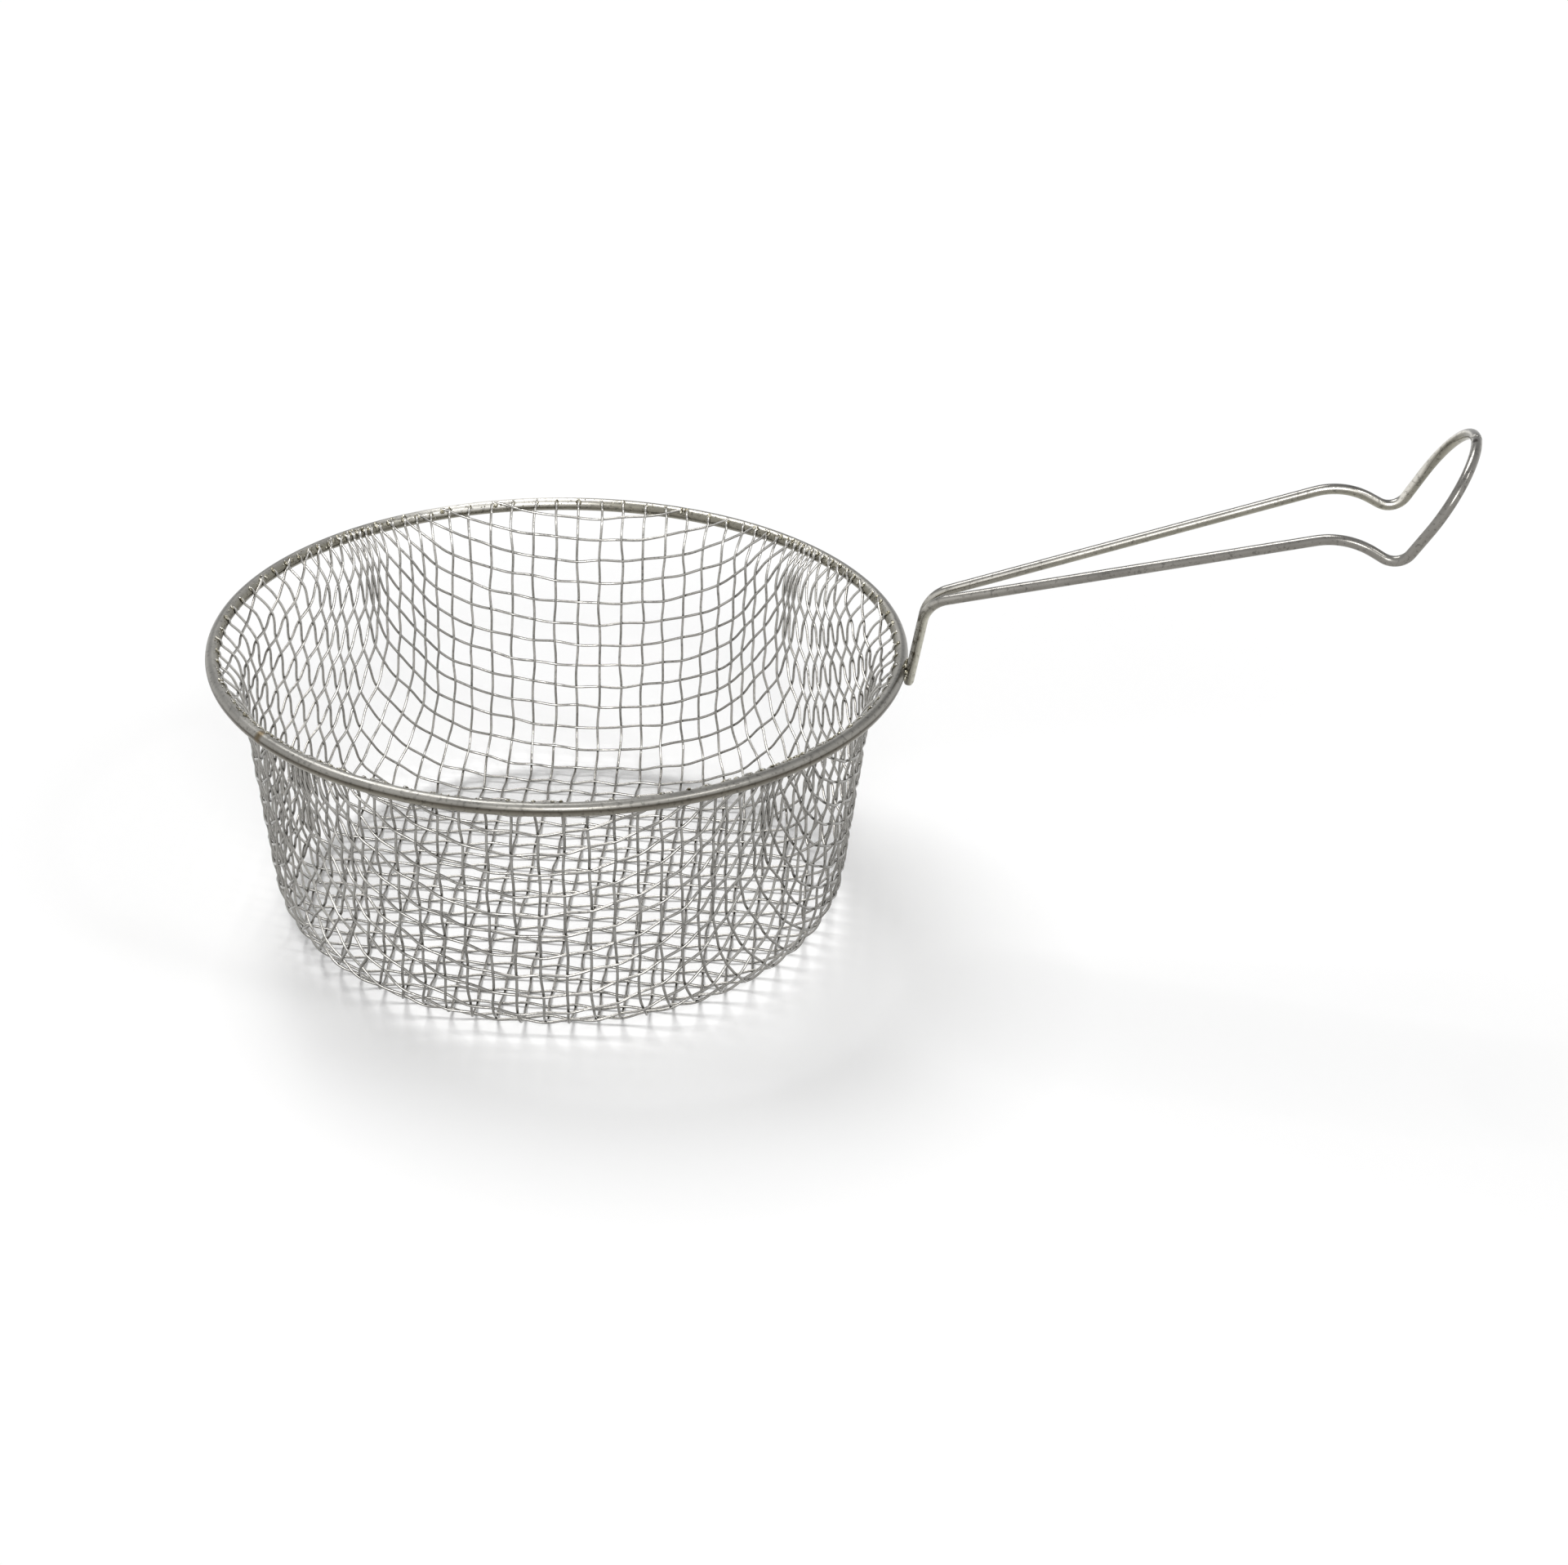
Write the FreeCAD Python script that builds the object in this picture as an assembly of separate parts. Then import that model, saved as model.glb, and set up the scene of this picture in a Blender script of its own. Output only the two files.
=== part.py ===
import FreeCAD, Part
import math
import os

# Deep fryer basket: a bowl of woven wire cloth welded to a round wire ring,
# with one bent wire as its handle. Sizes in mm, angles in degrees.
# The bowl's axis is Z, its base rests on Z = 0, and the handle points along +X.
Vector = FreeCAD.Vector

# Ring at the mouth
rim_outer_diameter = 200.0
rim_wire_diameter = 4.0
rim_height = 82.4

# Bowl, measured to the middle of the cloth, with insets from the ring's outer edge
base_inset = 18.5
mouth_inset = 8.7
corner_radius = 15.0
flare_radius = 14.0
lap_angle = 10.0

# Wire cloth
mesh_wire_diameter = 0.8
mesh_pitch = 6.9
cloth_turn = 4.3
cloth_shift_x = 0.5
cloth_shift_y = -0.25

# The solid carries every fourth wire, as a thicker six-sided bar
wires_per_bar = 4
bar_thickness = 1.6
weave_offset = 0.42

# Handle, with its bends measured outwards from the ring's edge and upwards from the ring
handle_wire_diameter = 3.0
weld_sink = 0.25
leg_gap = 0.1
foot_drop = 3.0
bend_reach = 5.0
bend_rise = 22.2
bend_spread = 2.6
bend_radius = 9.5
knee_reach = 117.5
knee_rise = 58.0
knee_spread = 17.6
knee_radius = 20.0
dip_reach = 132.2
dip_rise = 50.2
dip_spread = 18.8
dip_radius = 5.5
loop_reach = 150.2
loop_rise = 80.6
loop_spread = 22.0
loop_radius = 20.5

# How finely the round forms are drawn
flats_per_wire = 12
flats_per_bar = 6
bar_sag = 0.5

rim_outer_radius = rim_outer_diameter / 2
rim_wire_radius = rim_wire_diameter / 2
rim_centre_radius = rim_outer_radius - rim_wire_radius
handle_wire_radius = handle_wire_diameter / 2
base_radius = rim_outer_radius - base_inset
mouth_radius = rim_outer_radius - mouth_inset
# Crossing wires touch, so the cloth is two wires thick and its middle lies one wire up
cloth_height = mesh_wire_diameter


class BowlProfile:
    """Middle line of the cloth from the centre of the base to the ring, by its own length."""

    def __init__(self):
        self.lean = math.atan2(mouth_radius - base_radius, rim_height - cloth_height)
        turn = math.pi / 2 - self.lean
        self.corner_start = base_radius - corner_radius * math.tan(turn / 2)
        self.corner_end = self.corner_start + corner_radius * turn
        self.wall_x = self.corner_start + corner_radius * math.cos(self.lean)
        self.wall_z = cloth_height + corner_radius * (1 - math.sin(self.lean))
        # The flare turns outwards until the line meets the ring's inner face
        meet = math.radians(lap_angle)
        meet_x = rim_centre_radius - rim_wire_radius * math.cos(meet)
        meet_z = rim_height - rim_wire_radius * math.sin(meet)
        wall_at_ring = self.wall_x + (meet_z - self.wall_z) * math.tan(self.lean)
        flare_turn = math.acos(1 - (meet_x - wall_at_ring) * math.cos(self.lean) / flare_radius)
        self.wall_length = ((meet_z - self.wall_z) * math.cos(self.lean)
                            + (meet_x - self.wall_x) * math.sin(self.lean)
                            - flare_radius * math.sin(flare_turn))
        self.flare_start = self.corner_end + self.wall_length
        self.flare_end = self.flare_start + flare_radius * flare_turn
        self.flare_x = self.wall_x + self.wall_length * math.sin(self.lean)
        self.flare_z = self.wall_z + self.wall_length * math.cos(self.lean)
        # Past the meeting point the line runs on into the ring's wire
        self.end_lean = self.lean + flare_turn
        self.end = self.flare_end + rim_wire_radius * math.sin(self.end_lean + meet)

    def at(self, s):
        """Radius, height and outward normal at length s along the profile."""
        if s <= self.corner_start:
            return s, cloth_height, (0.0, -1.0)
        if s <= self.corner_end:
            a = (s - self.corner_start) / corner_radius
            x = self.corner_start + corner_radius * math.sin(a)
            return x, cloth_height + corner_radius * (1 - math.cos(a)), (math.sin(a), -math.cos(a))
        if s <= self.flare_start:
            t = s - self.corner_end
            normal = (math.cos(self.lean), -math.sin(self.lean))
            return self.wall_x + t * math.sin(self.lean), self.wall_z + t * math.cos(self.lean), normal
        a = min(self.lean + (s - self.flare_start) / flare_radius, self.end_lean)
        past = max(0.0, s - self.flare_end)
        x = self.flare_x + flare_radius * (math.cos(self.lean) - math.cos(a)) + past * math.sin(a)
        z = self.flare_z + flare_radius * (math.sin(a) - math.sin(self.lean)) + past * math.cos(a)
        return x, z, (math.cos(a), -math.sin(a))

    def region(self, s):
        """0 on the flat base, then 1 in the corner, 2 on the wall and 3 in the flare."""
        return (s > self.corner_start) + (s > self.corner_end) + (s > self.flare_start)


profile = BowlProfile()


def on_bowl(s, angle):
    """Point of the cloth's middle at profile length s and angle about the bowl's axis."""
    x, z, _ = profile.at(s)
    return Vector(x * math.cos(angle), x * math.sin(angle), z)


def normal_at(s, angle):
    """Outward normal of the bowl there."""
    nx, nz = profile.at(s)[2]
    return Vector(nx * math.cos(angle), nx * math.sin(angle), nz)


# The cloth is drawn into the bowl as a net of knots that stay one step apart,
# so its square cells close to diamonds between the four sides.
knot_step = mesh_pitch / 2
net_end = profile.end + 2 * mesh_pitch


def next_knot(left, below, s, angle):
    """The point of the bowl one knot step from two knots already placed."""
    for _ in range(40):
        point = on_bowl(s, angle)
        miss_left = (point - left).Length - knot_step
        miss_below = (point - below).Length - knot_step
        if abs(miss_left) + abs(miss_below) < 1e-7:
            return s, angle
        along = (on_bowl(s + 1e-4, angle) - point) * 1e4
        across = (on_bowl(s, angle + 1e-6) - point) * 1e6
        to_left = (point - left).normalize()
        to_below = (point - below).normalize()
        a, b = to_left.dot(along), to_left.dot(across)
        c, d = to_below.dot(along), to_below.dot(across)
        det = a * d - b * c
        if abs(det) < 1e-12:
            return None
        step_s = (b * miss_below - d * miss_left) / det
        step_a = (c * miss_left - a * miss_below) / det
        size = max(abs(step_s), abs(step_a) * rim_centre_radius, 1e-9)
        share = min(1.0, knot_step / 2 / size)
        s += step_s * share
        angle += step_a * share
    return None


def knots_up_the_side():
    """Profile lengths of the knots straight up one side of the bowl."""
    lengths = [0.0]
    while lengths[-1] < net_end:
        last = on_bowl(lengths[-1], 0.0)
        low, high = lengths[-1], lengths[-1] + 2 * knot_step
        for _ in range(40):
            middle = (low + high) / 2
            if (on_bowl(middle, 0.0) - last).Length < knot_step:
                low = middle
            else:
                high = middle
        lengths.append(high)
    return lengths


def cloth_net():
    """Profile length and angle of each knot of one quarter of the cloth."""
    knots = {}
    side = knots_up_the_side()
    for i, s in enumerate(side):
        knots[i, 0] = (s, 0.0)
        knots[0, i] = (s, math.pi / 2)
    for i in range(1, len(side)):
        for j in range(1, i + 1):
            if (i - 1, j) not in knots:
                break
            s_left, a_left = knots[i - 1, j]
            s_below, a_below = knots[i, j - 1]
            if max(s_left, s_below) > net_end:
                break
            guess = max(s_left, s_below) + knot_step / 2
            found = next_knot(on_bowl(s_left, a_left), on_bowl(s_below, a_below),
                              guess, (a_left + a_below) / 2)
            if found is None or found[0] <= knots[i - 1, j - 1][0]:
                break
            knots[i, j] = found
            knots[j, i] = (found[0], math.pi / 2 - found[1])
    return knots


net = cloth_net()


def cloth_to_bowl(a, b):
    """Profile length and angle of the cloth's point (a, b), in pitches from its middle."""
    u, v = abs(a) * 2, abs(b) * 2
    i, j = int(u), int(v)
    x = y = 0.0
    for di in (0, 1):
        for dj in (0, 1):
            share = abs(1 - di - (u - i)) * abs(1 - dj - (v - j))
            if share < 1e-9:
                continue
            if (i + di, j + dj) not in net:
                return None
            s, angle = net[i + di, j + dj]
            x += share * s * math.cos(angle)
            y += share * s * math.sin(angle)
    angle = math.atan2(math.copysign(y, b), math.copysign(x, a))
    return math.hypot(x, y), angle + math.radians(cloth_turn)


def section_points(centre, across, up, radius, flats):
    """Corners around a wire's section, the first of them straight across."""
    points = []
    for k in range(flats):
        a = 2 * math.pi * k / flats
        points.append(centre + across * (radius * math.cos(a)) + up * (radius * math.sin(a)))
    return points


def flat_face(points):
    """Flat face inside straight lines through the points."""
    return Part.Face(Part.makePolygon(points + points[:1]))


class Bar:
    """One wire of the cloth, followed from its lowest point up to the ring on both sides."""

    def __init__(self, fixed, runs_along_x, inwards):
        self.fixed = fixed
        self.runs_along_x = runs_along_x
        self.inwards = inwards

    def spot(self, t):
        return cloth_to_bowl(t, self.fixed) if self.runs_along_x else cloth_to_bowl(self.fixed, t)

    def point(self, spot):
        return on_bowl(*spot) - normal_at(*spot) * self.inwards

    def tangent(self, t):
        step = 0.02
        before, after = self.spot(t - step), self.spot(t + step)
        if before is None or after is None:
            return None
        return (self.point(after) - self.point(before)).normalize()

    def inside(self, t):
        spot = self.spot(t)
        return spot is not None and spot[0] <= profile.end and self.tangent(t) is not None

    def end(self, direction):
        """How far the bar runs in one direction before it is inside the ring's wire."""
        t = 0.0
        while self.inside(t + direction / 2):
            t += direction / 2
        low, high = 0.0, 0.5
        for _ in range(20):
            middle = (low + high) / 2
            if self.inside(t + direction * middle):
                low = middle
            else:
                high = middle
        return t + direction * low

    def stations(self):
        """Positions along the bar where it has turned enough, or passes from wall to corner to base."""
        start, end = self.end(-1), self.end(1)
        count = int(round((end - start) * 2))
        places = [start + (end - start) * k / count for k in range(count + 1)]
        kept = [start]
        for before, t in zip(places, places[1:]):
            turn = self.tangent(kept[-1]).getAngle(self.tangent(t))
            sag = (t - kept[-1]) * mesh_pitch * turn / 8
            moved_on = profile.region(self.spot(before)[0]) != profile.region(self.spot(t)[0])
            if (sag > bar_sag or moved_on) and before > kept[-1]:
                kept.append(before)
            if moved_on or t == end:
                kept.append(t)
        return kept

    def solid(self):
        """The bar as rows of sides between its stations."""
        corner_reach = bar_thickness / 2 / math.cos(math.pi / flats_per_bar)
        rings = []
        for t in self.stations():
            spot, ahead = self.spot(t), self.tangent(t)
            across = ahead.cross(normal_at(*spot)).normalize()
            rings.append(section_points(self.point(spot), across, across.cross(ahead),
                                        corner_reach, flats_per_bar))
        faces = [flat_face(rings[0]), flat_face(rings[-1])]
        for low, high in zip(rings, rings[1:]):
            for k in range(flats_per_bar):
                corners = [low[k - 1], low[k], high[k], high[k - 1]]
                twist = (corners[1] - corners[0]).cross(corners[2] - corners[0]).normalize()
                if abs(twist.dot(corners[3] - corners[0])) < 1e-7:
                    faces.append(flat_face(corners))
                else:
                    near = Part.LineSegment(corners[0], corners[1]).toShape()
                    far = Part.LineSegment(corners[3], corners[2]).toShape()
                    faces.append(Part.makeRuledSurface(near, far))
        solid = Part.Solid(Part.makeShell(faces))
        if solid.Volume < 0:
            solid.reverse()
        return solid


def bars(shift, runs_along_x, inwards):
    """Every fourth wire of one direction, as far out as the bowl carries them."""
    reach = int(profile.end / mesh_pitch / wires_per_bar) + 1
    made = []
    for k in range(-reach, reach + 1):
        bar = Bar(shift + wires_per_bar * k, runs_along_x, inwards)
        if bar.inside(0.0) and bar.end(1) - bar.end(-1) > wires_per_bar:
            made.append(bar.solid())
    return made


def mesh_bowl(ring):
    """Crossing bars fused to one cloth, seated on the ring's inner face."""
    outer = bar_thickness / 2 - mesh_wire_diameter
    inner = outer + weave_offset
    lattice = bars(cloth_shift_x, False, outer) + bars(cloth_shift_y, True, inner)
    whole = lattice[0].fuse(lattice[1:])
    return whole.cut(ring)


def rim_ring():
    """Round wire bent to a closed circle."""
    section = section_points(Vector(rim_centre_radius, 0, rim_height), Vector(1, 0, 0), Vector(0, 0, 1),
                             rim_wire_radius, flats_per_wire)
    return flat_face(section).revolve(Vector(0, 0, 0), Vector(0, 0, 1), 360)


def bent_path(corners):
    """Straight lines through the corners, with an arc of the given radius in each."""
    points = [corner for corner, radius in corners]
    edges = []
    last = points[0]
    for k in range(1, len(points) - 1):
        back = (points[k - 1] - points[k]).normalize()
        ahead = (points[k + 1] - points[k]).normalize()
        half = back.getAngle(ahead) / 2
        radius = corners[k][1]
        reach = radius / math.tan(half)
        enter, leave = points[k] + back * reach, points[k] + ahead * reach
        crown = points[k] + (back + ahead).normalize() * (radius / math.sin(half) - radius)
        edges.append(Part.LineSegment(last, enter).toShape())
        edges.append(Part.Arc(enter, crown, leave).toShape())
        last = leave
    edges.append(Part.LineSegment(last, points[-1]).toShape())
    return Part.Wire(edges)


def handle(ring):
    """One wire: up from its foot on the ring, out along a leg, round the loop and back to the other foot."""
    touch_reach = handle_wire_radius - weld_sink
    foot_reach = touch_reach - foot_drop * (bend_reach - touch_reach) / bend_rise
    foot_spread = handle_wire_radius + leg_gap / 2
    stops = [
        (foot_reach, foot_spread, -foot_drop, 0.0),
        (bend_reach, bend_spread, bend_rise, bend_radius),
        (knee_reach, knee_spread, knee_rise, knee_radius),
        (dip_reach, dip_spread, dip_rise, dip_radius),
        (loop_reach, loop_spread, loop_rise, loop_radius),
    ]
    corners = [(Vector(rim_outer_radius + x, y, rim_height + z), radius) for x, y, z, radius in stops]
    corners += [(Vector(point.x, -point.y, point.z), radius) for point, radius in reversed(corners)]
    path = bent_path(corners)
    ahead = (corners[1][0] - corners[0][0]).normalize()
    across = ahead.cross(Vector(1, 0, 0)).normalize()
    section = section_points(corners[0][0], across, across.cross(ahead), handle_wire_radius, flats_per_wire)
    return path.makePipeShell([Part.makePolygon(section + section[:1])], True, False).cut(ring)


os.makedirs("parts", exist_ok=True)
ring = rim_ring()
ring.exportStep("parts/rim_ring.step")
handle(ring).exportStep("parts/handle.step")
mesh_bowl(ring).exportStep("parts/mesh_bowl.step")
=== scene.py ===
import math

import bmesh
import bpy
import numpy as np
from mathutils import Matrix, Vector


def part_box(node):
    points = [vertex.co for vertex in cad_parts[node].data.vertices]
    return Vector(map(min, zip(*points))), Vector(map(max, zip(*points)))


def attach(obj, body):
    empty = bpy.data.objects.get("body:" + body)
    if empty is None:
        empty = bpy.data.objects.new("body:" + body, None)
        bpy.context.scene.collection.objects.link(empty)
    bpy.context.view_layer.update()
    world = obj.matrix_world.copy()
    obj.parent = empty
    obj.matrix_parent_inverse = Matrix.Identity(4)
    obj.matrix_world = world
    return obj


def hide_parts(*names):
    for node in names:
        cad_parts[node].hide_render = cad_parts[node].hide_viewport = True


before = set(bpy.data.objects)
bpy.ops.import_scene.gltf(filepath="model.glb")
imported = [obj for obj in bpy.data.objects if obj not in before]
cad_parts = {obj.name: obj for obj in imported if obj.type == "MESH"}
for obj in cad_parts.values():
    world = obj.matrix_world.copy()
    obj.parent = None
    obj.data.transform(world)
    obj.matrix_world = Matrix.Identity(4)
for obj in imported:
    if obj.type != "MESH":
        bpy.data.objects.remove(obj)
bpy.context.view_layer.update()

# Looks of the deep fryer basket. Lengths are in mm here and become metres where a mesh is made.
# Z is the bowl's axis, the base rests on Z = 0, and the handle points along +X.
MM = 0.001
FULL_TURN = 2 * math.pi

# Sizes of the ring, taken from its solid, and the surface of the round wire just inside it
ring_low, ring_high = (np.array(corner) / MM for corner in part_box("rim_ring"))
rim_wire_radius = (ring_high[2] - ring_low[2]) / 2
rim_outer_radius = (ring_high[0] - ring_low[0]) / 2
rim_centre_radius = rim_outer_radius - rim_wire_radius
rim_height = (ring_high[2] + ring_low[2]) / 2
ring_inset = 0.06
ring_surface = rim_wire_radius - ring_inset
ring_steps = 360
ring_sides = 28

# The ring's butt weld: its place, and the rise of the low collar there, as a share of the wire's
# radius, and its half width
joint_angle = math.radians(225.75)
collar_rise = 0.03
collar_width = 1.3

# The bowl's profile, to the middle of the cloth. The wall's straight line meets the base's level
# at base_radius and the ring's level at mouth_radius. The flare meets the ring meet_angle below its middle.
base_radius = 81.5
mouth_radius = 91.3
cloth_height = 0.80
corner_radius = 15.0
flare_radius = 14.0
meet_angle = math.radians(10.0)

# The cloth. Shifts are in pitches from the middle of the base, crimp is how far a wire's middle
# swings off the cloth's middle, and net_margin is how far its net is worked out past the bowl's edge.
pitch = 6.9
mesh_wire_radius = 0.40
crimp = 0.39
cloth_turn = math.radians(4.3)
cloth_shift_x = 0.5
cloth_shift_y = -0.25
net_margin = 14.0
segments_per_span = 6
tube_sides = 8

# How the wires wander: size in pitches, then radians per pitch along a wire and from wire to wire
wander = ((0.035, 0.9, 2.4), (0.025, 2.3, 5.1))

# How the wires slide apart at the wall's diagonals, growing over this share of the wall
spread_share = 0.6
spread_width = math.radians(8.0)
spread_growth = 0.5

# The wires' lapped ends: the section angle at which they end and its random change, the stand of a
# wire's middle off the ring and the part of it that is sunk at the end, both in wire radii, and how
# many pitches before the ring the crimp fades. The last two keep a lap from running along the ring.
lap_end = math.radians(62.0)
lap_end_change = (-0.2, 0.15)
lap_stand = 0.55
lap_sink = 0.5
lap_steps = 12
lap_smoothing = 2
fade_pitches = 0.8
least_rise = 0.3
most_slant = 2.5

# The handle's bends: reach from the ring's edge, spread, rise from the ring's middle, and radius
handle_wire_radius = 1.48
foot = (0.743, 1.55, -3.0, 0.0)
bend = (5.0, 2.6, 22.2, 9.5)
knee = (117.5, 17.6, 58.0, 20.0)
dip = (132.2, 18.8, 50.2, 5.5)
loop = (150.2, 22.0, 80.6, 20.5)
handle_spacing = 0.8
handle_sides = 24

# Search for the cloth's knots
newton_rounds = 30
halvings = 40
slope_steps_per_mm = 1e4
slope_steps_per_radian = 1e6
tiny = 1e-9
knot_tolerance = 1e-5

rng = np.random.default_rng(5)


def round_angles(count):
    """Angles of even steps all the way round."""
    return np.arange(count) * FULL_TURN / count


def wrapped(angle):
    """An angle brought between minus and plus half a turn."""
    return (angle + math.pi) % FULL_TURN - math.pi


# The bowl's profile and the net of the cloth
class Profile:
    """Middle line of the cloth by its length from the centre of the base: base, corner, wall and flare."""

    def __init__(self):
        self.lean = math.atan2(mouth_radius - base_radius, rim_height - cloth_height)
        turn = math.pi / 2 - self.lean
        self.corner_x = base_radius - corner_radius * math.tan(turn / 2)
        self.corner_end = self.corner_x + corner_radius * turn
        wall_x = self.corner_x + corner_radius * math.cos(self.lean)
        wall_z = cloth_height + corner_radius * (1 - math.sin(self.lean))
        meet_x = rim_centre_radius - rim_wire_radius * math.cos(meet_angle)
        meet_z = rim_height - rim_wire_radius * math.sin(meet_angle)
        line_x = wall_x + (meet_z - wall_z) * math.tan(self.lean)
        excess = (meet_x - line_x) * math.cos(self.lean) / flare_radius
        flare_turn = math.acos(1 - excess)
        reach = (meet_z - wall_z) * math.cos(self.lean) + (meet_x - wall_x) * math.sin(self.lean)
        self.wall_length = reach - flare_radius * math.sin(flare_turn)
        self.flare_start = self.corner_end + self.wall_length
        self.flare_end = self.flare_start + flare_radius * flare_turn

    def at(self, s):
        """Radius and height at profile lengths s, and the outward normal's parts along each."""
        s = np.asarray(s, float)
        corner = np.clip((s - self.corner_x) / corner_radius, 0.0, math.pi / 2 - self.lean)
        flare = np.clip(s - self.flare_start, 0.0, self.flare_end - self.flare_start) / flare_radius
        lean = np.where(s > self.flare_start, self.lean + flare, self.lean)
        wall = np.clip(s - self.corner_end, 0.0, self.wall_length)
        over = np.clip(s - self.flare_end, 0.0, None)
        x = np.minimum(s, self.corner_x) + corner_radius * np.sin(corner) + wall * math.sin(self.lean)
        x = x + flare_radius * (math.cos(self.lean) - np.cos(lean)) + over * np.sin(lean)
        z = cloth_height + corner_radius * (1 - np.cos(corner)) + wall * math.cos(self.lean)
        z = z + flare_radius * (np.sin(lean) - math.sin(self.lean)) + over * np.cos(lean)
        upright = s > self.corner_end
        normal_x = np.where(upright, np.cos(lean), np.sin(corner))
        normal_z = np.where(upright, -np.sin(lean), -np.cos(corner))
        return x, z, normal_x, normal_z


profile = Profile()
net_reach = profile.flare_end + net_margin


def on_bowl(s, angle):
    """Points of the cloth's middle surface at profile lengths s and angles, one row each."""
    x, z = profile.at(s)[:2]
    return np.stack([x * np.cos(angle), x * np.sin(angle), z], -1)


def next_knots(left, below, s, angle, step):
    """The bowl's points one step from both rows of placed points, by Newton's method."""
    for _ in range(newton_rounds):
        point = on_bowl(s, angle)
        along = (on_bowl(s + 1 / slope_steps_per_mm, angle) - point) * slope_steps_per_mm
        across = (on_bowl(s, angle + 1 / slope_steps_per_radian) - point) * slope_steps_per_radian
        to_left, to_below = point - left, point - below
        far_left = np.linalg.norm(to_left, axis=-1)
        far_below = np.linalg.norm(to_below, axis=-1)
        to_left = to_left / far_left[:, None]
        to_below = to_below / far_below[:, None]
        left_along, left_across = (to_left * along).sum(-1), (to_left * across).sum(-1)
        below_along, below_across = (to_below * along).sum(-1), (to_below * across).sum(-1)
        miss_left, miss_below = far_left - step, far_below - step
        det = left_along * below_across - left_across * below_along
        det = np.where(np.abs(det) < tiny, tiny, det)
        step_s = (left_across * miss_below - below_across * miss_left) / det
        step_angle = (below_along * miss_left - left_along * miss_below) / det
        size = np.maximum(np.abs(step_s), np.abs(step_angle) * rim_centre_radius)
        limit = np.minimum(1.0, step / 2 / np.maximum(size, tiny))
        s, angle = s + step_s * limit, angle + step_angle * limit
    missed = np.maximum(np.abs(miss_left), np.abs(miss_below)) > knot_tolerance
    return np.where(missed, np.nan, s), angle


def axis_knots(count, step):
    """Profile lengths of knots one step apart, from the middle of the base straight up the wall."""
    places = [0.0]
    while len(places) < count:
        last = on_bowl(places[-1], 0.0)
        low, high = places[-1], places[-1] + 2 * step
        for _ in range(halvings):
            middle = (low + high) / 2
            if np.linalg.norm(on_bowl(middle, 0.0) - last) < step:
                low = middle
            else:
                high = middle
        places.append(high)
    return places


def cloth_net():
    """Knots of the cloth half a pitch apart, each one step from its neighbours, as s*cos and s*sin."""
    step = pitch / 2
    count = int(net_reach / step) + 3
    s = np.full((count, count), np.nan)
    angle = np.full((count, count), np.nan)
    s[:, 0] = s[0] = axis_knots(count, step)
    angle[:, 0] = 0.0
    angle[0] = math.pi / 2
    angle[0, 0] = math.pi / 4
    for total in range(2, 2 * count):
        i = np.arange(max(1, total - count + 1), min(total, count))
        j = total - i
        placed = ~np.isnan(s[i - 1, j]) & ~np.isnan(s[i, j - 1])
        i, j = i[placed], j[placed]
        if len(i) == 0:
            break
        s_left, s_below = s[i - 1, j], s[i, j - 1]
        angle_left, angle_below = angle[i - 1, j], angle[i, j - 1]
        left, below = on_bowl(s_left, angle_left), on_bowl(s_below, angle_below)
        highest = np.maximum(s_left, s_below)
        middle = (angle_left + angle_below) / 2
        found_s, found_angle = next_knots(left, below, highest + step / 2, middle, step)
        stuck = ~(found_s > s[i - 1, j - 1]) | (highest > net_reach)
        s[i, j] = np.where(stuck, np.nan, found_s)
        angle[i, j] = found_angle
    return s * np.cos(angle), s * np.sin(angle)


net_x, net_y = cloth_net()
net_size = net_x.shape[0]


def net_value(i, j):
    """The net's knot at whole indices, mirrored into all four quarters."""
    inside = (np.abs(i) < net_size) & (np.abs(j) < net_size)
    row, column = np.minimum(np.abs(i), net_size - 1), np.minimum(np.abs(j), net_size - 1)
    value = np.stack([net_x[row, column] * np.sign(i), net_y[row, column] * np.sign(j)], -1)
    return np.where(inside[..., None], value, np.nan)


def cubic(values, t):
    """Curve through the middle two of four values, or a straight line where an outer one is missing."""
    v0, v1, v2, v3 = values
    t = t[..., None]
    v0 = np.where(np.isnan(v0), 2 * v1 - v2, v0)
    v3 = np.where(np.isnan(v3), 2 * v2 - v1, v3)
    return v1 + t / 2 * (v2 - v0 + t * (2 * v0 - 5 * v1 + 4 * v2 - v3 + t * (3 * (v1 - v2) + v3 - v0)))


def diagonal_spread(s, angle):
    """How far the wires, crowded on the wall at each diagonal, slide apart there."""
    quarter = math.pi / 2
    away = (angle % quarter) - quarter / 2
    rise = np.clip((s - profile.corner_end) / (spread_growth * profile.wall_length), 0.0, 1.0)
    return spread_share * rise * away * np.exp(-(away / spread_width) ** 2)


def cloth_point(a, b):
    """Profile length and angle of the cloth's points (a, b), in pitches from its middle."""
    u, v = np.asarray(a, float) * 2, np.asarray(b, float) * 2
    i, j = np.floor(u).astype(int), np.floor(v).astype(int)
    rows = []
    for di in (-1, 0, 1, 2):
        rows.append(cubic([net_value(i + di, j + dj) for dj in (-1, 0, 1, 2)], v - j))
    xy = cubic(rows, u - i)
    s, angle = np.hypot(xy[..., 0], xy[..., 1]), np.arctan2(xy[..., 1], xy[..., 0])
    return s, angle + diagonal_spread(s, angle) + cloth_turn


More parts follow.
